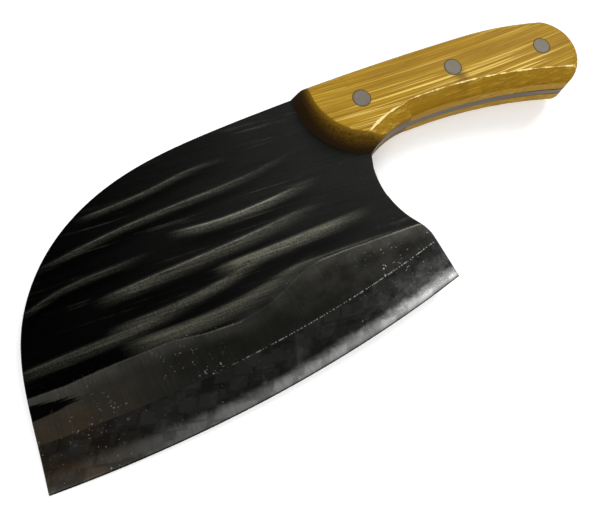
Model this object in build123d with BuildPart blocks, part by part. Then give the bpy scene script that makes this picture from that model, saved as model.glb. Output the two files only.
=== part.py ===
"""Forged meat cleaver: one full-tang blade, a pair of bamboo handle scales and
three two-piece cutler's rivets, each a tube half and a pin half.

Frame, in millimetres: the knife lies on its side. +X runs along the line of the
end rivets towards the butt, +Y points at the spine (the cutting edge is at -Y)
and +Z points up out of the upper face. The origin is under the middle rivet, on
the flat of the lower handle scale.
"""
import os
from math import atan2, cos, degrees, hypot, radians, sin, sqrt

from build123d import *

# ---------------------------------------------------------------- thicknesses
handle_thickness = 23.0      # across both scales and the tang
blade_thickness = 4.5        # spine and tang

# --------------------------------------------------------------------- handle
handle_front = 75.0          # middle rivet to the scales' front end, at the spine
handle_rear = 66.8           # middle rivet to the butt
spine_height = 11.2          # spine above the rivet line, at the scales' front end
crown_x = 14.0               # where the back of the handle is highest
crown_height = 15.8
butt_top_setback = 11.0      # where the butt's arc meets the back
butt_top_height = 12.0
butt_end_depth = 4.5         # the rearmost point of the butt
butt_toe_setback = 13.0      # the beak under the butt
butt_toe_depth = 22.4
waist_x = -27.0              # where the belly turns into the finger flare
waist_depth = 15.8
flare_x = -51.0              # the scales' lower front corner, at the finger notch
flare_depth = 25.0
back_radius = 1500.0         # from the front end to the crown
belly_radius = 250.0
butt_top_radius = 12.0       # eases the butt into the back
butt_toe_radius = 8.0        # rounds the beak
front_end_radius = 32.5      # the scales' rounded front end, where it meets the blade
front_end_slope = 6.4        # how far that end leans back over a scale's thickness
belly_chamfer = 5.4          # broad bevel along the belly, at 45 degrees
back_rounding = 5.0          # rounding along the back and round the butt

# ---------------------------------------------------------------------- blade
blade_reach = 144.5          # in front of the scales
heel_x = -38.0
heel_depth = 89.5            # heel of the edge, below the rivet line
tip_depth = 111.5            # front end of the edge, below the rivet line
edge_sagitta = 7.0           # how far the edge bellies out from a straight line
shoulder_x = -41.5           # top of the straight heel
shoulder_depth = 64.5
shoulder_radius = 14.0
notch_radius = 36.0          # finger notch between heel and handle
# The nose's curve as (share of the reach, share of the depth), from the spine round.
nose_curve = [(0.31, 0.038), (0.583, 0.108), (0.811, 0.267), (0.950, 0.514), (0.991, 0.85)]

# ------------------------------------------- blade's section, in from the edge
edge_land = 0.2              # thickness left at the very edge
micro_bevel_width = 1.2
micro_bevel_thickness = 0.7
bevel_width = 18.0           # ground bevel
bevel_thickness = 2.2        # at the top of the bevel
taper_width = 55.0           # the blade is at full thickness this far in

# --------------------------------------------------------------------- rivets
rivet_pitch = 48.0
end_rivet_drop = 2.2         # the end rivets sit this far below the middle one
rivet_head_diameter = 8.0
rivet_head_thickness = 2.2
tube_diameter = 5.0
tube_end_gap = 0.8           # between the tube's end and the pin half's head
tube_floor = 1.2             # metal between the tube half's head and its bore
pin_diameter = 3.2
pin_end_gap = 1.0            # between the pin's end and the end of the tube's bore
pin_point = 0.5              # chamfer that leads the pin in
head_clearance = 0.05        # radial, head in its recess
tube_clearance = 0.05        # radial, tube in scales and tang
pin_clearance = 0.02         # radial, pin in the tube's bore

# ------------------------------------------------------- cutting-tool margins
cutter_margin = 3.0          # how far a cutter stands clear of the stock, in mm
edge_sector_overhang = 14.0  # how far the edge's cutters run past tip and heel
front_end_overhang = 25.0    # the same for the scales' front end, in degrees
bevel_overhang = 22.0        # how far the handle's bevel runs past butt and front

# ------------------------------------------------------------- derived places
scale_thickness = (handle_thickness - blade_thickness) / 2
tang_bottom_z = scale_thickness
tang_top_z = tang_bottom_z + blade_thickness
mid_z = handle_thickness / 2
front_top = (-handle_front, spine_height)
crown = (crown_x, crown_height)
butt_top = (handle_rear - butt_top_setback, butt_top_height)
butt_end = (handle_rear, -butt_end_depth)
butt_toe = (handle_rear - butt_toe_setback, -butt_toe_depth)
waist = (waist_x, -waist_depth)
front_bottom = (flare_x, -flare_depth)
shoulder = (shoulder_x, -shoulder_depth)
heel = (heel_x, -heel_depth)
tip = (-handle_front - blade_reach, -tip_depth)
nose = [
    (
        -handle_front - along * blade_reach,
        spine_height - down * (spine_height + tip_depth),
    )
    for along, down in nose_curve
]
rivet_places = {
    "front": (-rivet_pitch, -end_rivet_drop),
    "middle": (0.0, 0.0),
    "rear": (rivet_pitch, -end_rivet_drop),
}


def arc_centre(start, end, radius):
    """Centre of the arc of that radius that turns clockwise from start to end."""
    run = Vector(end) - Vector(start)
    to_centre = sqrt(radius**2 - (run.length / 2) ** 2)
    square_on = Vector(run.Y, -run.X).normalized()
    return (Vector(start) + Vector(end)) / 2 + square_on * to_centre


def angle_about(centre, point):
    """Direction of a point as seen from the centre, in degrees."""
    direction = Vector(point) - centre
    return degrees(atan2(direction.Y, direction.X))


def radial_plane(centre, height, angle):
    """Upright plane through a centre: x runs outwards at that angle, y runs up."""
    outwards = Vector(cos(radians(angle)), sin(radians(angle)))
    return Plane(
        origin=centre + Vector(0, 0, height),
        x_dir=outwards,
        z_dir=outwards.cross(Vector(0, 0, 1)),
    )


def ring_profile(centre, height, angle, points):
    """Closed outline for a revolved cutter; points are (distance out, height)."""
    with BuildSketch(radial_plane(centre, height, angle)) as profile:
        with BuildLine():
            Polyline(points, close=True)
        make_face()
    return profile.sketch


def handle_back_and_belly():
    """Draw the handle from the spine, round the butt, to the finger notch."""
    back = RadiusArc(front_top, crown, back_radius)
    TangentArc(crown, butt_top, tangent=back % 1)
    ThreePointArc(butt_top, butt_end, butt_toe)
    belly = RadiusArc(butt_toe, waist, -belly_radius)
    flare = TangentArc(waist, front_bottom, tangent=belly % 1)
    return belly, flare


# ---------------------------------------------------------------------- blade
edge_chord = hypot(heel[0] - tip[0], heel[1] - tip[1])
edge_radius = edge_chord**2 / (8 * edge_sagitta) + edge_sagitta / 2
edge_centre = arc_centre(heel, tip, edge_radius)
edge_margin = degrees(edge_sector_overhang / edge_radius)
edge_start = angle_about(edge_centre, tip) - edge_margin
edge_sector = angle_about(edge_centre, heel) + edge_margin - edge_start

# The stock that grinding takes off one side, as (distance out, height off the middle).
ground_away = [
    (edge_radius + cutter_margin, edge_land / 2),
    (edge_radius, edge_land / 2),
    (edge_radius - micro_bevel_width, micro_bevel_thickness / 2),
    (edge_radius - bevel_width, bevel_thickness / 2),
    (edge_radius - taper_width, blade_thickness / 2),
    (edge_radius - taper_width, blade_thickness / 2 + cutter_margin),
    (edge_radius + cutter_margin, blade_thickness / 2 + cutter_margin),
]

with BuildPart() as blade:
    with BuildSketch(Plane.XY.offset(tang_bottom_z)) as blade_profile:
        with BuildLine():
            handle_back_and_belly()
            RadiusArc(front_bottom, shoulder, -notch_radius)
            Line(shoulder, heel)
            RadiusArc(heel, tip, edge_radius)
            Spline(tip, *reversed(nose), front_top)
        make_face()
        fillet(blade_profile.vertices().sort_by_distance(shoulder)[0], shoulder_radius)
        fillet(blade_profile.vertices().sort_by_distance(butt_top)[0], butt_top_radius)
        fillet(blade_profile.vertices().sort_by_distance(butt_toe)[0], butt_toe_radius)
        with Locations(*rivet_places.values()):
            Circle(tube_diameter / 2 + tube_clearance, mode=Mode.SUBTRACT)
    extrude(amount=blade_thickness)
    for side in (1, -1):
        profile = ring_profile(
            edge_centre, mid_z, edge_start, [(out, side * up) for out, up in ground_away]
        )
        revolve(profile, Axis(edge_centre, (0, 0, 1)), edge_sector, mode=Mode.SUBTRACT)
blade.part.label = "blade"

# -------------------------------------------------------------- handle scales
front_end_centre = arc_centre(front_bottom, front_top, front_end_radius)
front_end_start = angle_about(front_end_centre, front_top) - front_end_overhang
front_end_stop = angle_about(front_end_centre, front_bottom) + 360 + front_end_overhang

# The stock in front of the sloping front end, as (distance out, height off the tang).
sloped_away = [
    (front_end_radius, 0),
    (front_end_radius - front_end_slope, scale_thickness),
    (front_end_radius - front_end_slope, scale_thickness + cutter_margin),
    (front_end_radius + cutter_margin, scale_thickness + cutter_margin),
    (front_end_radius + cutter_margin, 0),
]

with BuildPart() as upper_scale:
    with BuildSketch(Plane.XY.offset(tang_top_z)) as scale_profile:
        with BuildLine():
            belly, flare = handle_back_and_belly()
            RadiusArc(front_bottom, front_top, front_end_radius)
        make_face()
        fillet(scale_profile.vertices().sort_by_distance(butt_top)[0], butt_top_radius)
        fillet(scale_profile.vertices().sort_by_distance(butt_toe)[0], butt_toe_radius)
    extrude(amount=scale_thickness)

    # The rim is rounded over all the way except at the front end. Along the belly
    # the bevel, which is wider, then takes the rounding away.
    rim = upper_scale.faces().sort_by(Axis.Z)[-1].edges()
    front_arc = min(rim, key=lambda edge: abs(edge.arc_center.X - front_end_centre.X))
    fillet([edge for edge in rim if edge is not front_arc], back_rounding)

    # The broad bevel is a cone about each arc's own centre. It runs straight out
    # through the butt and, at the other end, through the front.
    for arc, before, beyond in ((belly, bevel_overhang, 0), (flare, 0, bevel_overhang)):
        start = angle_about(arc.arc_center, arc @ 0) - degrees(before / arc.radius)
        stop = angle_about(arc.arc_center, arc @ 1) + degrees(beyond / arc.radius)
        bevelled_away = [
            (arc.radius - cutter_margin, -belly_chamfer - cutter_margin),
            (arc.radius + belly_chamfer + cutter_margin, cutter_margin),
            (arc.radius - cutter_margin, cutter_margin),
        ]
        profile = ring_profile(arc.arc_center, handle_thickness, start, bevelled_away)
        revolve(profile, Axis(arc.arc_center, (0, 0, 1)), stop - start, mode=Mode.SUBTRACT)

    # The front end leans back from the blade, as a cone about its own centre.
    profile = ring_profile(front_end_centre, tang_top_z, front_end_start, sloped_away)
    revolve(
        profile,
        Axis(front_end_centre, (0, 0, 1)),
        front_end_stop - front_end_start,
        mode=Mode.SUBTRACT,
    )
    with BuildSketch(Plane.XY.offset(handle_thickness)):
        with Locations(*rivet_places.values()):
            Circle(tube_diameter / 2 + tube_clearance)
    extrude(amount=-scale_thickness, mode=Mode.SUBTRACT)
    with BuildSketch(Plane.XY.offset(handle_thickness)):
        with Locations(*rivet_places.values()):
            Circle(rivet_head_diameter / 2 + head_clearance)
    extrude(amount=-rivet_head_thickness, mode=Mode.SUBTRACT)
upper_scale.part.label = "upper_scale"

with BuildPart() as lower_scale:
    mirror(upper_scale.part, about=Plane.XY.offset(mid_z))
lower_scale.part.label = "lower_scale"

# --------------------------------------------------------------------- rivets
# Both heads are flush with the scales, and the pin's shank runs up inside the tube.
tube_end_z = rivet_head_thickness + tube_end_gap
bore_end_z = handle_thickness - rivet_head_thickness - tube_floor
pin_end_z = bore_end_z - pin_end_gap
bore_diameter = pin_diameter + 2 * pin_clearance

rivet_halves = []
for place_name, place in rivet_places.items():
    with BuildPart() as tube_half:
        with BuildSketch(Plane.XY.offset(handle_thickness)):
            with Locations(place):
                Circle(rivet_head_diameter / 2)
        extrude(amount=-rivet_head_thickness)
        with BuildSketch(Plane.XY.offset(tube_end_z)):
            with Locations(place):
                Circle(tube_diameter / 2)
        extrude(amount=handle_thickness - rivet_head_thickness - tube_end_z)
        with BuildSketch(Plane.XY.offset(tube_end_z)):
            with Locations(place):
                Circle(bore_diameter / 2)
        extrude(amount=bore_end_z - tube_end_z, mode=Mode.SUBTRACT)
    tube_half.part.label = f"{place_name}_rivet_tube"
    rivet_halves.append(tube_half.part)

    with BuildPart() as pin_half:
        with BuildSketch(Plane.XY):
            with Locations(place):
                Circle(rivet_head_diameter / 2)
        extrude(amount=rivet_head_thickness)
        with BuildSketch(Plane.XY.offset(rivet_head_thickness)):
            with Locations(place):
                Circle(pin_diameter / 2)
        extrude(amount=pin_end_z - rivet_head_thickness)
        chamfer(pin_half.faces().sort_by(Axis.Z)[-1].edges(), pin_point)
    pin_half.part.label = f"{place_name}_rivet_pin"
    rivet_halves.append(pin_half.part)

# ---------------------------------------------------------------------- files
os.makedirs("parts", exist_ok=True)
for piece in (blade.part, upper_scale.part, lower_scale.part, *rivet_halves):
    export_step(piece, f"parts/{piece.label}.step")
    print(f"{piece.label}: {piece.volume / 1000:.2f} cm3")
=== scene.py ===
# %% [markdown]
# # A forged meat cleaver
# This lesson dresses a finished CAD model of a kitchen cleaver for a picture. The CAD model says where
# everything is: one steel blade whose tang runs through the whole handle, two bamboo scales and three
# two-piece rivets. Here every piece gets the small shapes and the finish that a CAD model leaves out.
# The frame is loaded first, and the thicknesses below are read from it.

import math

import bpy
import numpy as np
from mathutils import Matrix, Vector


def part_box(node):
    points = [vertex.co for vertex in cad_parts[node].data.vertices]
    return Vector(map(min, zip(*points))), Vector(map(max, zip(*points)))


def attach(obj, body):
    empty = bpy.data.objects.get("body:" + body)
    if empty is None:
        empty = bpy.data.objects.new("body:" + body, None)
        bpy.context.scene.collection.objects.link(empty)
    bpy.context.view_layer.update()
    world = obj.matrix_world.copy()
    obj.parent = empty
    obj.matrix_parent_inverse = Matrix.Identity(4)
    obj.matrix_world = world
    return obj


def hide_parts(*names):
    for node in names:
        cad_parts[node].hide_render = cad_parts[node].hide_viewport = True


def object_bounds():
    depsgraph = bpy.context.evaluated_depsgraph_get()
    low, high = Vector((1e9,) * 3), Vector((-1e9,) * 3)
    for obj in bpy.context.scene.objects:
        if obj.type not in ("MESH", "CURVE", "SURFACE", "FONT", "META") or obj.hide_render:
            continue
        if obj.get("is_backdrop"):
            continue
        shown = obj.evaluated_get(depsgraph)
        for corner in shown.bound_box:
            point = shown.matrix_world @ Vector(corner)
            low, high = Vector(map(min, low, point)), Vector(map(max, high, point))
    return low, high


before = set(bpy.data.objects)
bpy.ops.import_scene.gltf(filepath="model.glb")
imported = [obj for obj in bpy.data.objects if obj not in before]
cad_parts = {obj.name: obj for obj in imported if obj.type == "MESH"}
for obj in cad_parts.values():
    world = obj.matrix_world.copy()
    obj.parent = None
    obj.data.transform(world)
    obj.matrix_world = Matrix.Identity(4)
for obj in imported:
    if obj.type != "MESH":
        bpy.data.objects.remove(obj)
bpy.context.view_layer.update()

# %% [markdown]
# The cleaver lies on its side. X runs along the handle towards the butt, Y points at the spine, so that
# the cutting edge is at -Y, and Z points up out of the upper face. All sizes here are millimetres, as a
# knife maker would write them, and they turn into metres only when a mesh is made.

# %% Sizes that the shapes are worked out from
mm = 0.001
upper_low, upper_high = (np.array(corner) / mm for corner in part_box("upper_scale"))
handle_thickness = upper_high[2]
tang_top = upper_low[2]
middle_height = handle_thickness / 2
blade_thickness = 2 * (tang_top - middle_height)

front_top = (-75.0, 11.2)
crown = (14.0, 15.8)
butt_top = (55.8, 12.0)
butt_end = (66.8, -4.5)
butt_toe = (53.8, -22.4)
waist = (-27.0, -15.8)
front_bottom = (-51.0, -25.0)
shoulder = (-41.5, -64.5)
heel = (-38.0, -89.5)
tip = (-219.5, -111.5)
print("handle", round(handle_thickness, 2), "mm thick, blade", round(blade_thickness, 2), "mm")

# %% [markdown]
# ## Curves
# A knife's outline is a row of plain curves: arcs where the maker used a disc or a template, straight
# lines, and one free curve round the nose. Blender's curve objects could draw them, but points worked out
# with numpy can be cut, offset and joined exactly, so that the faces built between them close.

# %% Plain curves
def swing(centre, start, end, count):
    """Turn start into end about the centre, the short way, keeping the distance from it."""
    first = math.atan2(start[1] - centre[1], start[0] - centre[0])
    last = math.atan2(end[1] - centre[1], end[0] - centre[0])
    turn = (last - first + math.pi) % (2 * math.pi) - math.pi
    angle = first + turn * np.linspace(0, 1, count)
    radius = math.dist(centre, start)
    return np.stack([centre[0] + radius * np.cos(angle), centre[1] + radius * np.sin(angle)], 1)


def arc_centre(start, end, radius):
    """From the middle of the chord, square to it, by the root of radius squared less half chord squared."""
    start, end = np.array(start), np.array(end)
    run = end - start
    half = np.hypot(*run) / 2
    across = np.array([run[1], -run[0]]) / (2 * half) * np.sign(radius)
    return (start + end) / 2 + across * math.sqrt(radius**2 - half**2)


def arc(start, end, radius, count=80):
    """Circle of that radius from start to end, clockwise, or the other way for a negative radius."""
    return swing(arc_centre(start, end, radius), start, end, count)


def tangent_arc(start, end, heading, count=80):
    """Circle through both points that leaves start along the heading: its centre lies square to it."""
    start, run = np.array(start), np.array(end) - np.array(start)
    square = np.array([-heading[1], heading[0]]) / np.hypot(*heading)
    return swing(start + square * (run @ run) / (2 * (run @ square)), start, end, count)


def three_point_arc(start, middle, end, count=80):
    """Circle through three points: its centre is as far from each of them."""
    a, b, c = np.array(start), np.array(middle), np.array(end)
    centre = np.linalg.solve(2 * np.array([b - a, c - a]), [b @ b - a @ a, c @ c - a @ a])
    return np.concatenate([swing(centre, a, b, count)[:-1], swing(centre, b, c, count)])


def free_curve(points, count=200):
    """Natural cubic spline: cubics between the points whose slopes and bends agree at every point."""
    p = np.array(points, float)
    t = np.r_[0, np.cumsum(np.hypot(*np.diff(p, axis=0).T))]
    h = np.diff(t)
    inner = np.arange(1, len(p) - 1)
    matrix = np.zeros((len(p), len(p)))
    matrix[0, 0] = matrix[-1, -1] = 1
    matrix[inner, inner - 1] = h[:-1]
    matrix[inner, inner] = 2 * (h[:-1] + h[1:])
    matrix[inner, inner + 1] = h[1:]
    slope = np.diff(p, axis=0) / h[:, None]
    bend = np.linalg.solve(matrix, np.pad(6 * np.diff(slope, axis=0), ((1, 1), (0, 0))))
    s = np.linspace(0, t[-1], count)
    k = np.clip(np.searchsorted(t, s, side="right") - 1, 0, len(h) - 1)
    before, after, gap = (s - t[k])[:, None], (t[k + 1] - s)[:, None], h[k][:, None]
    return (
        (bend[k] * after**3 + bend[k + 1] * before**3) / (6 * gap)
        + (p[k] / gap - bend[k] * gap / 6) * after
        + (p[k + 1] / gap - bend[k + 1] * gap / 6) * before
    )


# %% Cutting, joining and rounding them
def joined(*curves):
    """One curve after the other, each without its first point, which is the last one's end."""
    return np.concatenate([curves[0], *[curve[1:] for curve in curves[1:]]])


def lengths(curve):
    """Distance walked along the curve up to each point."""
    return np.r_[0, np.cumsum(np.hypot(*np.diff(curve, axis=0).T))]


def at(curve, shares):
    """Points at those shares of the curve's length."""
    walked = lengths(curve)
    return np.stack([np.interp(np.array(shares) * walked[-1], walked, side) for side in curve.T], 1)


def part_of(curve, first, last, count=200):
    """The stretch between two shares of the length."""
    return at(curve, np.linspace(first, last, count))


def rounded(before, after, radius, count=24):
    """Swap the corner for a conic that is tangent to both curves; its weight, the cosine of half the
    turn, makes it a circle where they are straight."""
    way_in = before[-1] - before[-2]
    way_out = after[1] - after[0]
    turn = abs(math.remainder(math.atan2(*way_in[::-1]) - math.atan2(*way_out[::-1]), 2 * math.pi))
    reach = radius * math.tan(turn / 2)
    before = part_of(before, 0, 1 - reach / lengths(before)[-1], len(before))
    after = part_of(after, reach / lengths(after)[-1], 1, len(after))
    way_in, way_out = before[-1] - before[-2], after[1] - after[0]
    span = after[0] - before[-1]
    along = np.linalg.solve(np.stack([way_in, way_out], 1), span)[0]
    corner = before[-1] + along * way_in
    weight = math.cos(turn / 2)
    t = np.linspace(0, 1, count)[:, None]
    top = (1 - t) ** 2 * before[-1] + 2 * weight * t * (1 - t) * corner + t**2 * after[0]
    return joined(before, top / ((1 - t) ** 2 + 2 * weight * t * (1 - t) + t**2), after)


def distance_to(curve, plan):
    """Shortest distance from every plan point to the curve, one straight piece of it at a time."""
    nearest = np.full(plan.shape[:-1], np.inf)
    for start, end in zip(curve[:-1], curve[1:]):
        run = end - start
        share = np.clip(((plan - start) @ run) / (run @ run), 0, 1)
        nearest = np.minimum(nearest, np.hypot(*np.moveaxis(plan - start - share[..., None] * run, -1, 0)))
    return nearest


# %% The outline, from the finger notch round the edge, nose, back and butt
edge_chord = math.dist(heel, tip)
edge_sagitta = 7.0
edge_radius = edge_chord**2 / (8 * edge_sagitta) + edge_sagitta / 2
edge_centre = arc_centre(heel, tip, edge_radius)
edge = arc(heel, tip, edge_radius, 200)[::-1]

nose_shares = [(0.991, 0.85), (0.950, 0.514), (0.811, 0.267), (0.583, 0.108), (0.31, 0.038)]
reach, depth = front_top[0] - tip[0], front_top[1] - tip[1]
nose_points = [(front_top[0] - a * reach, front_top[1] - d * depth) for a, d in nose_shares]
nose_and_spine = free_curve([tip, *nose_points, front_top], 400)

back = arc(front_top, crown, 1500.0)
back_end = tangent_arc(crown, butt_top, back[-1] - back[-2])
butt = three_point_arc(butt_top, butt_end, butt_toe)
belly = arc(butt_toe, waist, -250.0)
flare = tangent_arc(waist, front_bottom, belly[-1] - belly[-2])
underside = joined(belly, flare)
notch = rounded(arc(front_bottom, shoulder, -36.0), np.array([shoulder, heel]), 14.0)
handle_round = rounded(rounded(joined(back, back_end), butt, 12.0), underside, 8.0)
print("edge", round(lengths(edge)[-1], 1), "mm long; round the handle", round(lengths(handle_round)[-1], 1))

# %% [markdown]
# ## Plates
# Blade and scales are all plates: a plan shape with an upper and a lower face. A patch that fills four
# border curves gives the plan a regular grid, and every face is then a height at each grid point. Modelling
# by hand could do it too, but on a grid each dent, bevel and rounding is one line of arithmetic.

# %% From border curves to a closed plate
def fill(bottom, top, left, right, u, v):
    """Coons patch: blend bottom into top, add the blend of left into right, and take away the blend of
    the four corners, which both counted."""
    bottom, top, left, right = at(bottom, u), at(top, u), at(left, v), at(right, v)
    u, v = np.array(u)[:, None, None], np.array(v)[None, :, None]
    corners = (1 - u) * (1 - v) * bottom[0] + u * (1 - v) * bottom[-1]
    corners = corners + (1 - u) * v * top[0] + u * v * top[-1]
    return (1 - v) * bottom[:, None] + v * top[:, None] + (1 - u) * left[None] + u * right[None] - corners


def grid_quads(columns, rows, first=0):
    """Four corner numbers of every cell of a grid, anticlockwise from above."""
    number = first + np.arange(columns * rows).reshape(columns, rows)
    cells = [number[:-1, :-1], number[1:, :-1], number[1:, 1:], number[:-1, 1:]]
    return np.stack(cells, -1).reshape(-1, 4)


def weld(plan, quads):
    """Give points in the same place one number, and drop the quads that lose a corner by it."""
    _, kept, number = np.unique(np.round(plan, 4), axis=0, return_index=True, return_inverse=True)
    quads = number.reshape(-1)[quads]
    whole = np.all(np.sort(quads, 1)[:, 1:] != np.sort(quads, 1)[:, :-1], axis=1)
    return kept, quads[whole]


def plate(name, plan, top, bottom, quads, finish, fields=None):
    """Upper face on the grid, lower face on the same grid turned over, and a wall under every border
    edge, which is one that no neighbouring cell walks the other way."""
    count = len(plan)
    start, end = quads, np.roll(quads, -1, axis=1)
    walks = (start * count + end).ravel()
    border = ~np.isin(walks, (end * count + start).ravel())
    a, b = start.ravel()[border], end.ravel()[border]
    walls = np.stack([b, a, a + count, b + count], 1)
    faces = np.concatenate([quads, quads[:, ::-1] + count, walls]).tolist()
    points = np.concatenate([np.c_[plan, top], np.c_[plan, bottom]])
    return surface(name, points, faces, finish, fields, smooth_angle=32)


def surface(name, points, faces, finish, fields=None, smooth_angle=40):
    """A mesh object in metres, with each named field of numbers as an attribute of its points."""
    mesh = bpy.data.meshes.new(name)
    mesh.from_pydata((points * mm).tolist(), [], faces)
    for label, values in (fields or {}).items():
        mesh.attributes.new(label, "FLOAT", "POINT").data.foreach_set("value", values.astype(np.float32))
    mesh.validate()
    mesh.shade_smooth()
    mesh.set_sharp_from_angle(angle=math.radians(smooth_angle))
    mesh.materials.append(finish)
    piece = bpy.data.objects.new(name, mesh)
    bpy.context.scene.collection.objects.link(piece)
    triangles = sum(len(face) - 2 for face in faces)
    print(name, "has", len(points), "points and", triangles, "triangles")
    return piece


# %% [markdown]
# ## A short way to write materials
# A finish is a tree of small nodes. Clicked together they make a picture that is hard to read, and written
# out in full they make a script that is hard to read, so one helper names the few steps that all of these
# finishes share: patterns, ranges, sums and mixtures.

# %% The finish bench
class Finish:
    """A material with one glossy shader, and short names for the nodes that feed it."""

    def __init__(self, name):
        self.material = bpy.data.materials.new(name)
        self.material.use_nodes = True
        self.tree = self.material.node_tree
        self.shader = self.tree.nodes["Principled BSDF"]
        self.place = self.add("ShaderNodeTexCoord").outputs["Object"]

    def add(self, kind, **settings):
        """A node with its settings."""
        made = self.tree.nodes.new(kind)
        for key, value in settings.items():
            setattr(made, key, value)
        return made

    def feed(self, socket, value):
        """Link a socket to another, or set it."""
        if isinstance(value, bpy.types.NodeSocket):
            self.tree.links.new(value, socket)
        else:
            socket.default_value = value

    def field(self, name):
        """A named number of the mesh's points."""
        return self.add("ShaderNodeAttribute", attribute_name=name).outputs["Fac"]

    def maths(self, operation, *values):
        """One sum."""
        made = self.add("ShaderNodeMath", operation=operation)
        for socket, value in zip(made.inputs, values):
            self.feed(socket, value)
        return made.outputs[0]

    def product(self, *values):
        """All of them multiplied."""
        result = values[0]
        for value in values[1:]:
            result = self.maths("MULTIPLY", result, value)
        return result

    def total(self, *values):
        """All of them added."""
        result = values[0]
        for value in values[1:]:
            result = self.maths("ADD", result, value)
        return result

    def ease(self, value, start, end, low=0.0, high=1.0):
        """Goes smoothly from low to high while the value goes from start to end."""
        made = self.add("ShaderNodeMapRange", interpolation_type="SMOOTHSTEP")
        for socket, number in zip(made.inputs, (value, start, end, low, high)):
            self.feed(socket, number)
        return made.outputs[0]

    def stretched(self, vector, x, y, z, turn=0.0):
        """The place scaled along each axis: a larger number packs the pattern closer."""
        made = self.add("ShaderNodeMapping")
        self.feed(made.inputs["Vector"], vector)
        made.inputs["Scale"].default_value = (x, y, z)
        made.inputs["Rotation"].default_value = (0, 0, math.radians(turn))
        return made.outputs[0]

    def noise(self, vector, detail=3.0, roughness=0.55, distortion=0.0, scale=1.0):
        """Cloudy noise, around a half."""
        made = self.add("ShaderNodeTexNoise")
        self.feed(made.inputs["Vector"], vector)
        made.inputs["Scale"].default_value = scale
        made.inputs["Detail"].default_value = detail
        made.inputs["Roughness"].default_value = roughness
        made.inputs["Distortion"].default_value = distortion
        return made.outputs["Fac"]

    def mix(self, share, first, second):
        """Colour between two others."""
        made = self.add("ShaderNodeMix", data_type="RGBA")
        self.feed(made.inputs[0], share)
        for socket, colour in zip((made.inputs[6], made.inputs[7]), (first, second)):
            self.feed(socket, (*colour, 1.0) if isinstance(colour, tuple) else colour)
        return made.outputs[2]

    def tint(self, colour, strength):
        """Colour made lighter or darker by a number."""
        made = self.add("ShaderNodeVectorMath", operation="SCALE")
        self.feed(made.inputs[0], colour)
        self.feed(made.inputs["Scale"], strength)
        return made.outputs[0]

    def vector(self, x, y, z=0.0):
        """Three numbers as one place."""
        made = self.add("ShaderNodeCombineXYZ")
        for socket, value in zip(made.inputs, (x, y, z)):
            self.feed(socket, value)
        return made.outputs[0]

    def axes(self, vector):
        """One place as three numbers."""
        made = self.add("ShaderNodeSeparateXYZ")
        self.feed(made.inputs[0], vector)
        return made.outputs

    def bump(self, height, depth_mm, strength=1.0):
        """Dents that far deep, in the shading only."""
        made = self.add("ShaderNodeBump")
        self.feed(made.inputs["Height"], height)
        made.inputs["Distance"].default_value = depth_mm * mm
        made.inputs["Strength"].default_value = strength
        self.feed(self.shader.inputs["Normal"], made.outputs[0])

    def finish(self, colour, roughness, **constants):
        """Connect the colour and the roughness, and set what is the same all over."""
        self.feed(self.shader.inputs["Base Color"], colour)
        self.feed(self.shader.inputs["Roughness"], roughness)
        for key, value in constants.items():
            self.shader.inputs[key.replace("_", " ")].default_value = value
        return self.material


# %% [markdown]
# ## The blade's section
# A smith draws the blade out thin towards the edge, then grinds a wide bevel and hones a narrow one on it.
# Every thickness depends only on how far a point lies in from the edge's arc, so the section is one broken
# line. The plan is filled in bands between those distances: each crease falls on a row of the grid, and
# stays crisp.

# %% How thick, how far in from the edge
section_in = [0.0, 1.2, 18.0, 55.0]
section_half = [0.1, 0.35, 1.1, blade_thickness / 2]
print("bevel", section_in[2], "mm wide and", 2 * section_half[2], "mm thick at its top")


def from_edge(plan):
    """Distance in from the edge's arc."""
    return edge_radius - np.hypot(plan[..., 0] - edge_centre[0], plan[..., 1] - edge_centre[1])


def along_edge(plan):
    """Distance along the arc from the tip, seen from the arc's centre."""
    angle = np.arctan2(plan[..., 1] - edge_centre[1], plan[..., 0] - edge_centre[0])
    start = math.atan2(tip[1] - edge_centre[1], tip[0] - edge_centre[0])
    return edge_radius * (angle - start)


# %% [markdown]
# The blade proper has four borders: the edge, the nose, the spine, and the heel with the finger notch. The
# last one goes on as a hidden line under the scales, where the tang begins as a patch of its own.

# %% Borders and bands
nose_side = part_of(nose_and_spine, 0, 0.305)
hidden_end = at(joined(back, back_end), [0.1])[0]
spine_side = joined(
    part_of(nose_and_spine, 0.305, 1, 300), part_of(joined(back, back_end), 0, 0.1, 20)
)
heel_side = joined(notch[::-1], np.array([front_bottom, hidden_end]))
columns = np.r_[0, 0.0008, 0.0028, np.linspace(0.007, 0.993, 196), 0.9972, 0.9992, 1]


def share_in(border, inwards):
    """Share of the border's length where it first lies that far in from the edge."""
    walked = lengths(border)
    rising = slice(0, int(np.argmax(from_edge(border) > 25)))
    return np.interp(inwards, from_edge(border[rising]), walked[rising] / walked[-1])


def band(lower, start_in, upper, end_in, v):
    """The patch between two curves, with the stretches of nose and heel that join their ends."""
    ends = [[share_in(side, start_in), share_in(side, end_in) if end_in else 1] for side in sides]
    left, right = (part_of(side, *end, 400) for side, end in zip(sides, ends))
    return fill(lower, upper, left, right, columns, v)


def offset_edge(inwards):
    """The edge's arc moved in, from the nose to the heel."""
    crossings = [at(side, [share_in(side, inwards)])[0] for side in sides]
    return swing(edge_centre, *crossings, 200)


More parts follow.
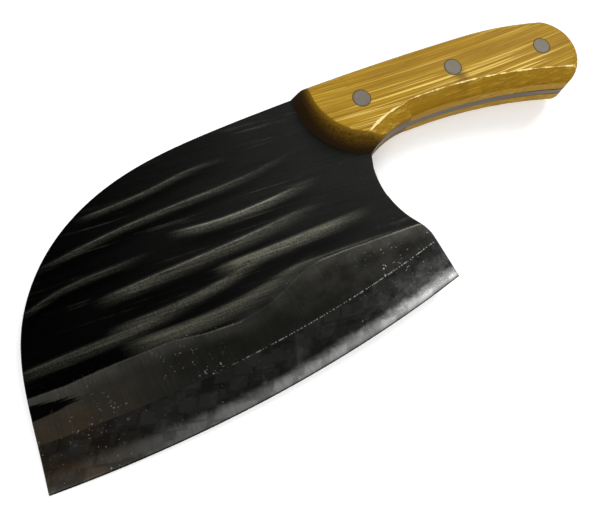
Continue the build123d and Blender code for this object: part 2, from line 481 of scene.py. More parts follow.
sides = (nose_side, heel_side)
honed_top, bevel_top = offset_edge(section_in[1]), offset_edge(section_in[2])
heel_walk = lengths(heel_side)
corner_walk = lengths(notch)[-1]
bevel_walk = share_in(heel_side, section_in[2]) * heel_walk[-1]
corner_share = (corner_walk - bevel_walk) / (heel_walk[-1] - bevel_walk)
honed_rows, bevel_rows, corner_rows = 5, 34, 118
rows = np.r_[
    np.linspace(0, corner_share, corner_rows),
    np.linspace(corner_share, 0.9925, 52)[1:],
    0.9970,
    0.9991,
    1,
]
blade_plan = np.concatenate(
    [
        band(edge, 0, honed_top, section_in[1], np.linspace(0, 1, honed_rows)),
        band(honed_top, section_in[1], bevel_top, section_in[2], np.linspace(0, 1, bevel_rows))[:, 1:],
        band(bevel_top, section_in[2], spine_side, None, rows)[:, 1:],
    ],
    axis=1,
)
print("blade grid", blade_plan.shape[:2])

# %% The tang carries on from the hidden line
hidden_row = honed_rows + (bevel_rows - 1) + (corner_rows - 1) - 1
hidden_points = blade_plan[-1, hidden_row:]
hidden_rows = lengths(hidden_points) / lengths(hidden_points)[-1]
round_walk = lengths(handle_round) / lengths(handle_round)[-1]
top_corner = round_walk[np.argmin(np.hypot(*(handle_round - butt_top).T))]
toe_corner = round_walk[np.argmin(np.hypot(*(handle_round - butt_toe).T))]
back_side = part_of(handle_round, 0, top_corner, 300)
butt_side = part_of(handle_round, top_corner, toe_corner, 200)[::-1]
belly_side = part_of(handle_round, toe_corner, 1, 300)[::-1]
tang_back = back_side[np.argmin(np.hypot(*(back_side - hidden_end).T)) + 1:]
tang_plan = fill(
    belly_side,
    joined(hidden_end[None], tang_back),
    np.array([front_bottom, hidden_end]),
    butt_side,
    np.linspace(0, 1, 70),
    hidden_rows,
)
tang_plan[0] = hidden_points
print("tang grid", tang_plan.shape[:2])

# %% Blade and tang as one plan
blade_cells = grid_quads(*blade_plan.shape[:2])
tang_cells = grid_quads(*tang_plan.shape[:2], first=blade_plan[..., 0].size)
both = np.concatenate([blade_plan.reshape(-1, 2), tang_plan.reshape(-1, 2)])
kept, steel_cells = weld(both, np.concatenate([blade_cells, tang_cells]))
steel_plan = both[kept]
steel_in = from_edge(steel_plan)
steel_run = along_edge(steel_plan)
bare_rim = joined(nose_and_spine, back[:20])
to_rim = np.minimum(distance_to(bare_rim, steel_plan), distance_to(notch, steel_plan))
print("steel plan", len(steel_plan), "points")

# %% [markdown]
# ## Hammer furrows
# The blade was drawn out under the hammer, which left long furrows that fan from the handle to the nose.
# Their crests were rubbed bright and the black forge scale stayed in the hollows, and the finish also paints
# a highlight on each crest and a sheen below it, as light would catch them. Each furrow is a crest line. The
# mesh stores how high every point lies above each line, and how far along it: the shape and the finish both
# read their cross-section from those two numbers, so a crest can be far thinner than a mesh cell.

# %% Crest lines, as a smith might chalk them: points, crest, sheen, breadth of the sheen in mm
furrows = [
    ([(-180, -14), (-150, -11), (-128, -7), (-108, -6)], 0.35, 0.45, 2.6),
    ([(-202, -30), (-170, -24), (-135, -20), (-100, -16), (-76, -10)], 0.35, 0.45, 3.0),
    ([(-147, -31.5), (-126, -32.5), (-100, -30.5), (-76, -27)], 0.9, 0.9, 4.2),
    ([(-212, -46), (-192, -40), (-172, -38), (-152, -36)], 0.22, 0.42, 2.8),
    ([(-182, -49), (-150, -46), (-118, -43), (-76, -37)], 0.55, 0.9, 5.5),
    ([(-134, -52), (-105, -50.5), (-80, -49), (-60, -47.5)], 0.35, 1.5, 5.5),
    ([(-182, -62), (-150, -60), (-126, -56), (-104, -50)], 0.20, 0.8, 4.5),
    ([(-222, -67), (-190, -65), (-165, -63.5), (-140, -60)], 0.25, 0.7, 5.0),
    ([(-178, -69), (-150, -69), (-122, -66), (-90, -58)], 0.0, 1.1, 7.0),
    ([(-112, -62.5), (-90, -61.5), (-66, -61.5), (-42, -61.5)], 0.20, 0.20, 2.0),
]


def eased(value, start, end):
    """Nought before start, one after end, and a smooth step between them."""
    share = np.clip((value - start) / (end - start), 0, 1)
    return share * share * (3 - 2 * share)


def crest_fields(plan, shift):
    """For each furrow: height above its crest line, and share of the way along it. Past an end the line
    runs straight on."""
    x, y = plan.T
    above, along = [], []
    for points, *_ in furrows:
        line = free_curve(points, 120)
        first, last = line[0, 0], line[-1, 0]
        beyond = 0.12 * (np.minimum(x - first, 0) + np.maximum(x - last, 0))
        above.append(y - shift - beyond - np.interp(x, line[:, 0], line[:, 1]))
        along.append((x - first) / (last - first))
    return above, along


def furrow_lift(above, along):
    """Sum over the furrows of a rounded ridge at the crest and a hollow below it, in mm."""
    lift = 0.0
    for (_, crest, sheen, breadth), height, share in zip(furrows, above, along):
        fade = eased(share, -0.05, 0.25) * (1 - eased(share, 0.65, 1.0))
        ridge = np.exp(-((height + 0.25 * breadth) / (0.55 * breadth)) ** 2)
        trough = np.exp(-((height + 1.6 * breadth) / (0.6 * breadth)) ** 2)
        lift = lift + fade * (crest + sheen) * (0.045 * ridge - 0.055 * trough)
    return lift


def ground_top(x):
    """Height of the line up to which the flat stone reached, from nose to heel."""
    return np.interp(
        x,
        [-220, -203, -187, -173, -160, -147, -134, -119, -108, -100, -92, -82, -46, -38],
        [-76.5, -76.4, -75.1, -74.6, -74.2, -75.8, -76.2, -73.5, -68.5, -64.8, -63.2, -62.6, -62.4, -63],
    )


def missed_hollow(x, y):
    """How far inside a deep hollow near the tip, which the stone did not reach: a lens closed at its end."""
    middle = np.interp(x, [-220, -207, -192], [-81.6, -82.0, -81.6])
    half = np.interp(x, [-220, -209, -200, -189], [3.0, 2.1, 1.2, -0.8])
    return half - np.abs(y - middle)


# %% Heights of both faces
def steel_face(shift):
    """Half thickness, with the furrows faded out towards the ground edge and under the scales, and the
    rim eased over."""
    x, y = steel_plan.T
    above, along = crest_fields(steel_plan, shift)
    below_line = ground_top(x) + shift - y
    missed = missed_hollow(x, y - shift)
    fade = eased(steel_in, 17, 30) * (1 - eased(x, -66, -52)) * (1 - 0.85 * eased(below_line, -1, 3))
    half = np.interp(steel_in, section_in, section_half)
    easing = np.minimum(0.45, 0.4 * half) * (x < -52.5)
    left_over = np.clip(1 - to_rim / np.maximum(easing, 1e-6), 0, 1)
    height = half + furrow_lift(above, along) * fade - easing * (1 - np.sqrt(1 - left_over**2))
    height = height - 0.12 * eased(missed, 0, 0.5)
    return height, [*above, *along, below_line, missed]


upper_half, upper_marks = steel_face(0.0)
lower_half, lower_marks = steel_face(-5.0)
mark_names = [f"{kind}_crest_{number}" for kind in ("above", "along") for number in range(len(furrows))]
steel_fields = {
    name: np.concatenate(values)
    for name, *values in zip([*mark_names, "below_line", "missed"], upper_marks, lower_marks)
}
steel_fields["from_edge"] = np.tile(steel_in, 2)
steel_fields["along_edge"] = np.tile(steel_run, 2)
steel_fields["from_rim"] = np.tile(to_rim, 2)
thickness = upper_half + lower_half
print("steel is", round(thickness.min(), 2), "to", round(thickness.max(), 2), "mm")

# %% [markdown]
# ## The finish of the steel
# Forged steel has three finishes. Black forge scale covers most of it: dark, hardly shiny, a little rough.
# The flat stone leaves a grey ground band with fine lines square to the edge, stained brown near the tip.
# The bevel is polished, smudged by handling, and brightest towards the heel, where it was honed last and
# where a reflection is painted on. All three are one metal shader whose colour and roughness are mixed from
# the distances stored in the mesh, so that every border stays exactly where the grinding put it.

# %% Patterns in the steel
steel = Finish("forged_steel_scale_and_ground_bevel")
place = steel.place
x_metres = steel.axes(place)["X"]
from_edge_mm = steel.field("from_edge")
along_mm = steel.field("along_edge")
below_line = steel.field("below_line")
drag = steel.noise(steel.stretched(place, 45, 1100, 900, turn=-7), detail=5, roughness=0.65)
streaks = steel.noise(steel.stretched(place, 16, 620, 600, turn=-6), detail=4, roughness=0.6)
speckle = steel.noise(steel.stretched(place, 1500, 1500, 1500), detail=4, roughness=0.7)
clouds = steel.noise(steel.stretched(place, 38, 38, 38), detail=4, roughness=0.6)
grain = steel.total(
    0.20, steel.ease(drag, 0.30, 0.70, 0.0, 0.75), steel.ease(speckle, 0.36, 0.64, 0.0, 0.85)
)

# %% Furrows: a thin crest, rubbed bare and given a painted highlight, a painted sheen below it, black scale in the hollow
crests, sheens, hollow = 0.0, 0.0, 0.0
ragged = steel.total(-0.55, steel.product(drag, 0.7), steel.product(speckle, 0.4))
for number, (_, crest, sheen, breadth) in enumerate(furrows):
    above = steel.total(steel.field(f"above_crest_{number}"), ragged)
    along = steel.field(f"along_crest_{number}")
    fade = steel.product(steel.ease(along, -0.04, 0.16), steel.ease(along, 1.0, 0.55))
    line = steel.ease(steel.maths("ABSOLUTE", above), 0.55, 0.0)
    below = steel.product(steel.ease(above, -breadth, -0.4), steel.ease(above, 1.5, -0.8))
    dark = steel.product(
        steel.ease(above, -0.8 * breadth, -1.2 * breadth), steel.ease(above, -2.8 * breadth, -1.5 * breadth)
    )
    crests = steel.maths("MAXIMUM", crests, steel.product(line, fade, fade, crest))
    sheens = steel.total(sheens, steel.product(below, fade, sheen))
    hollow = steel.maths("MAXIMUM", hollow, steel.product(dark, fade))
thin_lines = steel.product(steel.ease(streaks, 0.58, 0.72), steel.ease(clouds, 0.40, 0.62))

# %% Black forge scale, with painted light growing towards the handle
# Painted light: the scale is lighter towards the handle, where more light falls on it.
painted_light_towards_handle = steel.ease(x_metres, -0.21, -0.08)
scale_light = steel.total(0.0011, steel.product(painted_light_towards_handle, 0.0075))
scale_pattern = steel.total(0.45, steel.product(clouds, 0.6), steel.product(grain, 0.35))
scale_light = steel.product(scale_light, scale_pattern)
scale_light = steel.product(scale_light, steel.total(1.0, steel.product(hollow, -0.45)))
black_scale = steel.tint((1.0, 1.02, 0.96), scale_light)
# Painted sheen below the crests, with the real streaks, then a painted highlight on the rubbed crests.
rubbed_lines_and_sheen = steel.total(steel.product(sheens, 0.55), steel.product(thin_lines, 0.16))
streaked = steel.ease(streaks, 0.25, 0.65, 0.55, 1.25)
duller_nose = steel.ease(x_metres, -0.22, -0.17, 0.55, 1.0)
rubbed_lines_and_sheen = steel.product(rubbed_lines_and_sheen, grain, streaked, duller_nose)
scale_with_wear_and_sheen = steel.mix(rubbed_lines_and_sheen, black_scale, (0.102, 0.100, 0.077))
bare_and_highlit_crest = steel.product(crests, grain, steel.ease(clouds, 0.3, 0.6, 0.3, 0.8))
scale_with_wear_and_sheen = steel.mix(bare_and_highlit_crest, scale_with_wear_and_sheen, (0.20, 0.195, 0.165))

# %% Ground band: lines square to the edge, olive grey under its top line, brown near the tip
ground_place = steel.vector(along_mm, from_edge_mm)
stone_lines = steel.noise(steel.stretched(ground_place, 0.85, 0.035, 1), detail=5, roughness=0.7)
blotches = steel.noise(steel.stretched(ground_place, 0.09, 0.12, 1), detail=4, roughness=0.6)
towards_tip = steel.ease(along_mm, 80, 5)
near_line = steel.product(steel.ease(below_line, 7, 0.2), steel.ease(clouds, 0.3, 0.6, 0.25, 1.0))
near_heel = steel.product(steel.ease(along_mm, 95, 130), steel.ease(blotches, 0.35, 0.65))
ground_light = steel.total(
    0.012, steel.product(towards_tip, 0.030), steel.product(near_line, 0.026), steel.product(near_heel, 0.006)
)
line_strength = steel.total(0.55, steel.product(stone_lines, 0.9))
ground_light = steel.product(ground_light, line_strength, steel.total(0.55, steel.product(blotches, 0.9)))
brown = steel.product(
    steel.ease(along_mm, 60, 15), steel.ease(from_edge_mm, 40, 16), steel.ease(blotches, 0.25, 0.5)
)
ground_colour = steel.mix(brown, (1.0, 0.98, 0.84), (1.06, 0.80, 0.50))
ground_steel = steel.tint(ground_colour, ground_light)

# %% Bevel: dark mirror with smudges, honed bright and with a painted reflection towards the heel, a dark line at the very edge
patches = steel.add("ShaderNodeTexVoronoi", distance="CHEBYCHEV")
steel.feed(patches.inputs["Vector"], steel.stretched(ground_place, 0.13, 0.20, 1, turn=24))
patches.inputs["Scale"].default_value = 1.0
patch_tone = steel.axes(patches.outputs["Color"])["X"]
patch_rim = steel.ease(patches.outputs["Distance"], 0.40, 0.56)
smudges = steel.noise(steel.stretched(ground_place, 0.12, 0.16, 1), detail=6, roughness=0.68, distortion=0.6)
smears = steel.noise(steel.stretched(ground_place, 0.5, 0.08, 1), detail=5, roughness=0.7)
honed_and_reflection_reach = steel.total(2.6, steel.product(smudges, 4.0), steel.product(towards_tip, 3.0))
honed_and_reflection = steel.product(
    steel.ease(steel.maths("SUBTRACT", from_edge_mm, honed_and_reflection_reach), 2.2, -2.4),
    steel.ease(along_mm, 20, 150, 0.10, 1.0),
)
wide_honed_and_reflection = steel.product(steel.ease(from_edge_mm, 17, 3), steel.ease(along_mm, 120, 178))
# The honed strips and the bright band along the edge at the heel are partly honing and partly a painted
# reflection.
bevel_light = steel.total(
    0.019,
    steel.product(towards_tip, 0.003),
    steel.product(steel.ease(smudges, 0.50, 0.80), 0.032),
    steel.product(patch_tone, 0.013),
    steel.product(honed_and_reflection, steel.total(0.22, steel.product(smears, 0.60))),
    steel.product(wide_honed_and_reflection, 0.12, steel.ease(smudges, 0.3, 0.6)),
    steel.product(steel.ease(from_edge_mm, 5, 0.8), steel.ease(along_mm, 130, 175), 0.30),
    steel.product(steel.ease(from_edge_mm, 7, 1), towards_tip, 0.012),
)
bevel_light = steel.product(bevel_light, steel.total(1.0, steel.product(patch_rim, -0.35)))
bevel_light = steel.product(bevel_light, steel.ease(from_edge_mm, 0.15, 0.9, 0.05, 1.0))
bevel_brown = steel.product(steel.ease(along_mm, 50, 8), steel.ease(blotches, 0.3, 0.55))
bevel_steel = steel.tint(steel.mix(bevel_brown, (1.0, 1.0, 0.97), (1.02, 0.78, 0.52)), bevel_light)

# %% Where each one lies, and the marks across them
torn = steel.product(steel.total(streaks, -0.5), 5.0)
in_hollow = steel.ease(steel.total(steel.field("missed"), ragged, torn), 0.0, 0.7)
fold_at = 112.0
from_fold = steel.maths("ABSOLUTE", steel.maths("SUBTRACT", along_mm, fold_at))
folded = steel.ease(from_fold, 34, 8)
softness = steel.total(0.3, steel.product(folded, 6.5))
in_ground = steel.ease(steel.total(below_line, ragged), steel.product(softness, -1.0), softness)
bare_ground = steel.product(in_ground, steel.maths("SUBTRACT", 1.0, in_hollow))
in_bevel = steel.ease(from_edge_mm, 18.2, 17.6)
scale_with_wear_and_sheen = steel.mix(in_hollow, scale_with_wear_and_sheen, (0.0015, 0.0015, 0.0013))
colour = steel.mix(bare_ground, scale_with_wear_and_sheen, ground_steel)
off_top = steel.maths("ABSOLUTE", steel.total(below_line, ragged))
top_line = steel.product(steel.ease(off_top, 0.6, 0.05), grain)
stronger_back = steel.ease(along_mm, 55, 95, 0.12, 0.32)
top_line = steel.product(top_line, stronger_back, steel.ease(folded, 0.0, 0.8, 1.0, 0.15))
colour = steel.mix(top_line, colour, (0.22, 0.215, 0.18))
colour = steel.mix(in_bevel, colour, bevel_steel)
crease = steel.product(
    steel.ease(steel.maths("ABSOLUTE", steel.maths("SUBTRACT", from_edge_mm, 18.0)), 0.35, 0.05),
    steel.ease(steel.noise(steel.stretched(ground_place, 1.3, 0.3, 1), detail=3), 0.45, 0.62),
    steel.ease(along_mm, 62, 100),
)
specks = steel.product(
    steel.ease(steel.noise(steel.stretched(place, 900, 900, 900), detail=2), 0.655, 0.73),
    steel.ease(from_edge_mm, 42, 26),
    steel.ease(clouds, 0.44, 0.58),
)
marks = steel.maths("MAXIMUM", crease, specks)
colour = steel.mix(steel.product(marks, 0.8), colour, (0.36, 0.36, 0.34))
rim = steel.product(steel.ease(steel.field("from_rim"), 0.5, 0.1), 0.5)
colour = steel.mix(rim, colour, (0.05, 0.05, 0.047))
# The scales hide the slanting line between the bare tang and the blade.
front_slant = 0.663
past_front_end = steel.total(x_metres, steel.product(steel.axes(place)["Y"], front_slant))
on_tang = steel.ease(past_front_end, -0.0676, -0.0650)
colour = steel.mix(steel.product(on_tang, 0.85), colour, (0.135, 0.118, 0.088))

roughness = steel.total(0.42, steel.product(speckle, 0.16))
roughness = steel.maths("SUBTRACT", roughness, steel.product(bare_ground, 0.1))
roughness = steel.maths("SUBTRACT", roughness, steel.product(in_bevel, 0.14))
relief = steel.total(
    steel.product(speckle, steel.total(1.0, steel.product(in_bevel, -0.9))),
    steel.product(drag, steel.total(0.5, sheens)),
    steel.product(stone_lines, bare_ground, 0.7),
)
steel.bump(relief, 0.05, 0.5)
forged_steel = steel.finish(colour, roughness, Metallic=1.0)

# %% The blade in one piece with its tang
blade = plate(
    "forged_blade",
    steel_plan,
    middle_height + upper_half,
    middle_height - lower_half,
    steel_cells,
    forged_steel,
    steel_fields,
)
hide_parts("blade")
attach(blade, "root")

# %% [markdown]
# ## The handle scales
# Each scale is a bamboo slab, rounded along the back, bevelled along the belly, and sawn off in a sloping
# arc against the blade. The height at any point is the lowest of the surfaces that cut it: the flat, the
# bevel, the front slope and the rounding. Taking a soft minimum of them breaks the corners a little, as
# sandpaper does.

# %% Shape of a scale
scale_thickness = handle_thickness - tang_top
front_radius, front_slope = 32.5, 6.4
bevel_depth, back_rounding = 5.4, 5.0
front_centre = arc_centre(front_bottom, front_top, front_radius)
front_side = arc(front_bottom, front_top, front_radius)
belly_centre = arc_centre(butt_toe, waist, -250.0)
past_toe = np.array(butt_toe) + 22 * (belly[0] - belly[1]) / np.hypot(*(belly[0] - belly[1]))
bevel_line = joined(swing(belly_centre, past_toe, waist, 120), flare)
rivets = {"front": (-48.0, -2.2), "middle": (0.0, 0.0), "rear": (48.0, -2.2)}

scale_columns = np.r_[
    np.linspace(0, 0.055, 24), np.linspace(0.055, 0.988, 250)[1:], 0.9925, 0.996, 0.998, 0.9993, 1
]
scale_rows = np.r_[0, 0.004, 0.010, np.linspace(0.02, 0.945, 74), 0.965, 0.980, 0.990, 0.9965, 1]
scale_grid = fill(belly_side, back_side, front_side, butt_side, scale_columns, scale_rows)
kept, scale_cells = weld(scale_grid.reshape(-1, 2), grid_quads(*scale_grid.shape[:2]))
scale_plan = scale_grid.reshape(-1, 2)[kept]

from_belly = distance_to(bevel_line, scale_plan)
from_back = distance_to(part_of(handle_round, 0, 1, 500), scale_plan)
from_front = front_radius - np.hypot(*(scale_plan - front_centre).T)
from_front = np.where(scale_plan[:, 0] > -40, front_radius, from_front)
to_rivet = np.min([np.hypot(*(scale_plan - place).T) for place in rivets.values()], axis=0)
wobble = 0.10 * np.sin(scale_plan[:, 0] / 1.7) + 0.07 * np.sin(scale_plan[:, 0] / 0.63 + 1)


def soft_minimum(softness, *heights):
    """The lowest height, with the corners between them rounded: the log of a sum of exponentials."""
    lowest = np.min(heights, axis=0)
    return lowest - softness * np.log(sum(np.exp((lowest - height) / softness) for height in heights))


rounding = np.clip(back_rounding - from_back, 0, back_rounding)
scale_height = soft_minimum(
    0.10,
    np.full(len(scale_plan), scale_thickness),
    scale_thickness - bevel_depth + from_belly + wobble,
    from_front / front_slope * scale_thickness,
    scale_thickness - back_rounding + np.sqrt(back_rounding**2 - rounding**2),
)
scale_height = np.maximum(scale_height, 0.03) - 0.25 * eased(to_rivet, 3.9, 3.7)
print("scale grid", scale_grid.shape[:2], "height", round(scale_height.max(), 3), "of", scale_thickness)

# %% [markdown]
# ## Bamboo
# Strip bamboo is glued up from straight splits. Along the handle it shows strips of slightly different
# yellow-brown, fine pale fibres, and short dark dashes where the sap vessels run. On the sawn front end
# the same fibres are cut across and show as dots. One pattern in space, stretched along the handle, gives
# all of this at once. The distances to belly and front stored in the mesh place the wear, the painted shade
# on the wall and the front end, and a painted highlight along the crease.

# %% Bamboo
bamboo = Finish("strip_bamboo_oiled")
place = bamboo.place
x_metres, y_metres, z_metres = (bamboo.axes(place)[axis] for axis in "XYZ")
from_belly_mm = bamboo.field("from_belly")
from_front_mm = bamboo.field("from_front")

fanned = bamboo.vector(
    x_metres,
    bamboo.total(y_metres, bamboo.product(x_metres, -0.05), bamboo.product(x_metres, x_metres, -0.5)),
    z_metres,
)
fibres = bamboo.noise(bamboo.stretched(fanned, 22, 1500, 1500), detail=5, roughness=0.7)
bundles = bamboo.noise(bamboo.stretched(fanned, 9, 420, 420), detail=3)
dashes = bamboo.noise(bamboo.stretched(fanned, 110, 2300, 2300), detail=2)
pale_lines = bamboo.noise(bamboo.stretched(fanned, 11, 1250, 1250), detail=2)
patches = bamboo.noise(bamboo.stretched(place, 60, 110, 110), detail=4)
strips = bamboo.add("ShaderNodeTexWhiteNoise", noise_dimensions="1D")
strip_number = bamboo.maths("FLOOR", bamboo.maths("DIVIDE", bamboo.axes(fanned)["Y"], 0.0052))
bamboo.feed(strips.inputs["W"], strip_number)
strip_tone = strips.outputs["Value"]

wood = bamboo.mix(bamboo.ease(fibres, 0.3, 0.7), (0.200, 0.098, 0.002), (0.425, 0.250, 0.013))
wood = bamboo.mix(bamboo.product(strip_tone, 0.22), wood, (0.46, 0.280, 0.024))
wood = bamboo.mix(bamboo.product(bamboo.ease(bundles, 0.38, 0.62), 0.42), wood, (0.25, 0.126, 0.005))
towards_belly = bamboo.ease(from_belly_mm, 24, 8)
more_at_belly = bamboo.total(0.30, bamboo.product(towards_belly, 0.70))
pale = bamboo.product(bamboo.ease(pale_lines, 0.56, 0.65), more_at_belly)
pale = bamboo.product(pale, bamboo.ease(from_belly_mm, 4.5, 6.5, 0.35, 1.0))
wood = bamboo.mix(pale, wood, (0.70, 0.50, 0.11))
wood = bamboo.mix(bamboo.product(bamboo.ease(dashes, 0.64, 0.72), 0.55), wood, (0.13, 0.060, 0.004))
blotch_place = bamboo.vector(
    bamboo.maths("SUBTRACT", x_metres, 0.0012), bamboo.maths("ADD", y_metres, 0.0068), 0.0
)
blotch = bamboo.add("ShaderNodeVectorMath", operation="LENGTH")
bamboo.feed(blotch.inputs[0], bamboo.stretched(blotch_place, 1.0, 0.75, 0.0))
near_blotch = bamboo.ease(blotch.outputs["Value"], 0.0058, 0.0010)
blotch_share = bamboo.product(near_blotch, bamboo.ease(patches, 0.25, 0.50), 0.9)
wood = bamboo.mix(blotch_share, wood, (0.15, 0.070, 0.003))

# Bevel painted darker, the wall in painted shade, a worn crease with a painted highlight, the front end with
# painted shade near the blade, and the dark rings round the rivets.
paler_front = bamboo.ease(x_metres, -0.038, -0.022, 0.12, 0.45)
on_bevel = bamboo.product(bamboo.ease(from_belly_mm, 5.5, 5.2), paler_front)
wood = bamboo.mix(on_bevel, wood, (0.225, 0.120, 0.008))
# The wall faces down, away from the light: its dark brown is painted shade.
wall = bamboo.ease(from_belly_mm, 0.12, 0.02)
wood = bamboo.mix(bamboo.product(wall, 0.8), wood, (0.105, 0.066, 0.028))
chips = bamboo.noise(bamboo.stretched(place, 190, 60, 0), detail=4, roughness=0.65)
thick_front = bamboo.ease(x_metres, -0.028, -0.046, 0.0, 0.35)
line_width = bamboo.total(bamboo.product(bamboo.ease(chips, 0.38, 0.68), 0.42), thick_front, 0.02)
off_crease = bamboo.maths("ABSOLUTE", bamboo.maths("SUBTRACT", from_belly_mm, 5.55))
crease_line = bamboo.ease(bamboo.maths("SUBTRACT", off_crease, line_width), 0.08, -0.10)
# The crease line is partly a worn, chipped edge and partly a painted highlight.
worn_and_highlit_crease = bamboo.product(crease_line, bamboo.ease(from_front_mm, 6.0, 7.5), 0.85)
wood = bamboo.mix(worn_and_highlit_crease, wood, (0.90, 0.72, 0.33))
end_grain = bamboo.ease(from_front_mm, 6.6, 6.0)
dots = bamboo.noise(bamboo.stretched(place, 700, 1500, 1500), detail=3, roughness=0.7)
# Painted light: the front slope is lighter towards its top, away from the blade.
lighter_slope_top = bamboo.ease(from_front_mm, 4.2, 6.4)
end_colour = bamboo.mix(bamboo.ease(dots, 0.35, 0.65), (0.036, 0.014, 0.0005), (0.105, 0.052, 0.002))
end_colour = bamboo.mix(bamboo.product(lighter_slope_top, 0.55), end_colour, (0.26, 0.145, 0.010))
wood = bamboo.mix(bamboo.product(end_grain, 0.93), wood, end_colour)
# Painted shade over the front slope next to the black blade, reaching further near the spine.
near_spine = bamboo.ease(y_metres, -0.022, 0.010)
shade_reach = bamboo.total(2.6, bamboo.product(near_spine, 2.0))
painted_shade_near_blade = bamboo.ease(bamboo.maths("SUBTRACT", from_front_mm, shade_reach), 2.6, -2.0)
wood = bamboo.mix(bamboo.product(painted_shade_near_blade, 0.965), wood, (0.012, 0.0055, 0.0008))
ring = 0.0
for across, up in rivets.values():
    spot = bamboo.vector(
        bamboo.maths("SUBTRACT", x_metres, across * mm), bamboo.maths("SUBTRACT", y_metres, up * mm), 0.0
    )
    length = bamboo.add("ShaderNodeVectorMath", operation="LENGTH")
    bamboo.feed(length.inputs[0], spot)
    ring = bamboo.maths("MAXIMUM", ring, bamboo.ease(length.outputs["Value"], 0.00455, 0.00415))
wood = bamboo.mix(bamboo.product(ring, 0.8), wood, (0.045, 0.028, 0.012))
grain_height = bamboo.total(fibres, bamboo.product(pale_lines, -0.5), bamboo.product(dots, end_grain))
bamboo.bump(grain_height, 0.06, 0.6)
oiled = bamboo.total(0.46, bamboo.product(fibres, 0.16), bamboo.product(end_grain, 0.25))
strip_bamboo = bamboo.finish(wood, oiled, IOR=1.45, Specular_IOR_Level=0.09)

# %% Both scales from one shape
scale_fields = {
    name: np.tile(values, 2)
    for name, values in (("from_belly", from_belly), ("from_front", from_front))
}
inside = np.zeros(len(scale_plan))
upper = plate(
    "upper_bamboo_scale",
    scale_plan,
    tang_top + scale_height,
    tang_top + inside,
    scale_cells,
    strip_bamboo,
    scale_fields,
)
lower = plate(
    "lower_bamboo_scale",
    scale_plan,
    handle_thickness - tang_top - inside,
    handle_thickness - tang_top - scale_height,
    scale_cells,
    strip_bamboo,
    scale_fields,
)
for piece, node in ((upper, "upper_scale"), (lower, "lower_scale")):
    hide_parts(node)
    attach(piece, "root")

# %% [markdown]
# ## Rivets
# A cutler's rivet comes in two halves. The tube half goes in from one side, the pin half from the other,
# and hammering them together clamps the scales. Their flat heads were ground flush with the wood, which
# leaves fine straight scratches. Each half is a profile turned round the rivet's axis.

# %% Ground rivet steel
rivet_steel = Finish("ground_rivet_steel")
place = rivet_steel.place
scratches = rivet_steel.noise(rivet_steel.stretched(place, 300, 5200, 300, turn=28), detail=4, roughness=0.7)
tarnish = rivet_steel.noise(rivet_steel.stretched(place, 420, 420, 420), detail=4, roughness=0.6)
grey = rivet_steel.mix(rivet_steel.ease(scratches, 0.3, 0.7), (0.088, 0.077, 0.058), (0.128, 0.115, 0.090))
tarnished = rivet_steel.product(rivet_steel.ease(tarnish, 0.5, 0.75), 0.5)
grey = rivet_steel.mix(tarnished, grey, (0.066, 0.056, 0.042))
rivet_steel.bump(scratches, 0.02, 0.5)
rivet_rough = rivet_steel.total(0.50, rivet_steel.product(scratches, 0.15))
rivet_finish = rivet_steel.finish(grey, rivet_rough, Metallic=0.55)


# %% Turned halves
def turned(name, profile, centre, finish, count=72):
    """Carry a profile of (radius, height) round the rivet's axis: each point walks a circle."""
    profile = np.array(profile)
    angle = np.linspace(0, 2 * math.pi, count, endpoint=False)
    inner = profile[1:-1]
    x = centre[0] + inner[:, 0] * np.cos(angle)[:, None]
    y = centre[1] + inner[:, 0] * np.sin(angle)[:, None]
    z = np.broadcast_to(inner[:, 1], x.shape)
    ring_points = np.stack([x, y, z], -1).reshape(-1, 3)
    start = np.arange(count)[:, None] * len(inner) + np.arange(len(inner) - 1)
    onward = (start + len(inner)) % (count * len(inner))
    sides = np.stack([start, onward, onward + 1, start + 1], -1).reshape(-1, 4)
    poles = np.array([[*centre, profile[0, 1]], [*centre, profile[-1, 1]]])
    first, last = len(ring_points), len(ring_points) + 1
    walk = np.arange(count) * len(inner)
    fans = [[first, a, b] for a, b in zip(walk.tolist(), np.roll(walk, -1).tolist())]
    end = walk + len(inner) - 1
    fans += [[last, a, b] for a, b in zip(np.roll(end, -1).tolist(), end.tolist())]
    faces = sides[:, ::-1].tolist() + fans
    return surface(name, np.concatenate([ring_points, poles]), faces, finish)


head, shank, bore, pin = 4.0, 2.5, 1.62, 1.6
head_depth = 2.2
top = handle_thickness
tube_profile = [
    (0, top - 0.05), (1.6, top - 0.045), (3.0, top - 0.01), (3.7, top), (3.9, top - 0.03), (head, top - 0.14),
    (head, top - head_depth), (shank, top - head_depth), (shank, head_depth + 0.8), (bore, head_depth + 0.8),
    (bore, top - head_depth - 1.2), (0, top - head_depth - 1.2),
]
pin_profile = [
    (0, top - head_depth - 1.2 - 1.0), (pin - 0.5, top - head_depth - 2.2), (pin, top - head_depth - 2.7),
    (pin, head_depth), (head, head_depth), (head, 0.14), (3.9, 0.03), (3.7, 0.0), (3.0, 0.01), (1.6, 0.045),
    (0, 0.05),
]
for where, centre in rivets.items():
    for half, profile in (("tube", tube_profile), ("pin", pin_profile)):
        piece = turned(f"{where}_rivet_{half}_half", profile, centre, rivet_finish)
        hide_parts(f"{where}_rivet_{half}")
        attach(piece, "root")

# %% [markdown]
# ## The table, the light and the camera
# Laid on its side, the cleaver balances in front of the handle, so it tips until the edge's tip touches
# the table. The table leans by that angle here, since the cleaver itself keeps to its frame. Two large
# soft lights and a pale world give the even light of a catalogue picture.

# %% Table top under the three points that touch
table_white = Finish("white_table_top")
paper = table_white.noise(table_white.stretched(table_white.place, 30, 30, 30), detail=2)
tone = table_white.mix(table_white.product(paper, 0.2), (0.90, 0.90, 0.90), (0.86, 0.86, 0.86))
table_finish = table_white.finish(tone, 0.9, Specular_IOR_Level=0.1)
table_white.shader.inputs["Emission Color"].default_value = (1, 1, 1, 1)
table_white.shader.inputs["Emission Strength"].default_value = 0.30

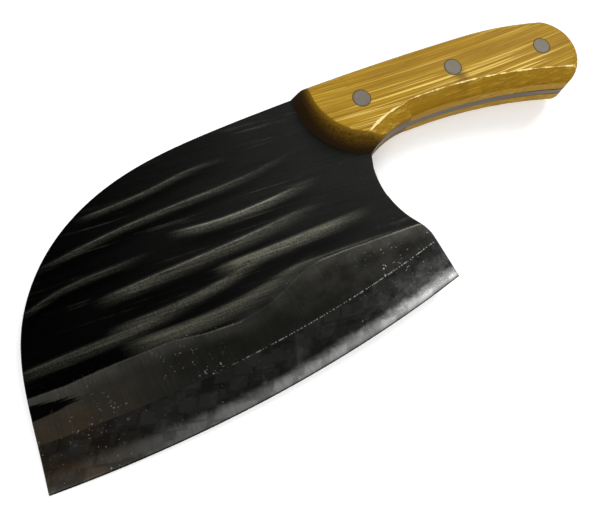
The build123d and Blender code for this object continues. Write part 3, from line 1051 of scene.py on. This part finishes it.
lean, lean_way = math.radians(3.63), math.radians(50.9)
touching = Vector((-59.96, -13.25, -0.05)) * mm
up = Vector((math.sin(lean) * math.cos(lean_way), math.sin(lean) * math.sin(lean_way), math.cos(lean)))
along_table = up.cross(Vector((0, 1, 0))).normalized()
across_table = up.cross(along_table)
half_table = 4.0
corner_signs = ((-1, -1), (1, -1), (1, 1), (-1, 1))
corners = [touching + half_table * (a * along_table + b * across_table) for a, b in corner_signs]
table_mesh = bpy.data.meshes.new("table_top")
table_mesh.from_pydata([tuple(c) for c in corners], [], [(0, 1, 2, 3)])
table_mesh.materials.append(table_finish)
table = bpy.data.objects.new("table_top", table_mesh)
bpy.context.scene.collection.objects.link(table)
table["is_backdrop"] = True
print("table leans", round(math.degrees(lean), 2), "degrees; tip clears it by",
      round((Vector((*tip, middle_height)) * mm - touching).dot(up) / mm, 2), "mm")

# %% Soft light
world = bpy.data.worlds.new("pale_room")
world.use_nodes = True
world.node_tree.nodes["Background"].inputs["Color"].default_value = (1, 1, 1, 1)
world.node_tree.nodes["Background"].inputs["Strength"].default_value = 0.45
bpy.context.scene.world = world
bpy.context.scene.view_settings.view_transform = "Standard"


def soft_light(name, place, aim, size, power):
    """A square softbox that faces its aim."""
    lamp = bpy.data.lights.new(name, "AREA")
    lamp.size = size
    lamp.energy = power
    box = bpy.data.objects.new(name, lamp)
    box.location = place
    box.rotation_euler = (Vector(aim) - Vector(place)).to_track_quat("-Z", "Y").to_euler()
    bpy.context.scene.collection.objects.link(box)
    return box


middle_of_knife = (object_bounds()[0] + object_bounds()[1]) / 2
soft_light("key_softbox", (0.75, 0.55, 0.95), middle_of_knife, 0.7, 14)
soft_light("fill_softbox", (-0.75, -0.70, 0.80), middle_of_knife, 0.9, 9)

# %% Camera, seen from the edge side and rolled so that the handle rises to the right
azimuth, elevation, roll = math.radians(-45.24), math.radians(67.9), math.radians(24.0)
aim = Vector((-99.18, -57.61, middle_height)) * mm
distance = 0.3123
backwards = Vector(
    (
        math.sin(azimuth) * math.cos(elevation),
        -math.cos(azimuth) * math.cos(elevation),
        math.sin(elevation),
    )
)
camera_data = bpy.data.cameras.new("camera")
camera_data.lens = 45.0
camera_data.sensor_width = 36.0
camera_data.clip_start = 0.01
camera = bpy.data.objects.new("camera", camera_data)
turned_view = backwards.to_track_quat("Z", "Y").to_matrix() @ Matrix.Rotation(roll, 3, "Z")
camera.matrix_world = Matrix.Translation(aim + distance * backwards) @ turned_view.to_4x4()
bpy.context.scene.collection.objects.link(camera)
bpy.context.scene.camera = camera
print("camera's right side points along", [round(c, 3) for c in turned_view.col[0]])
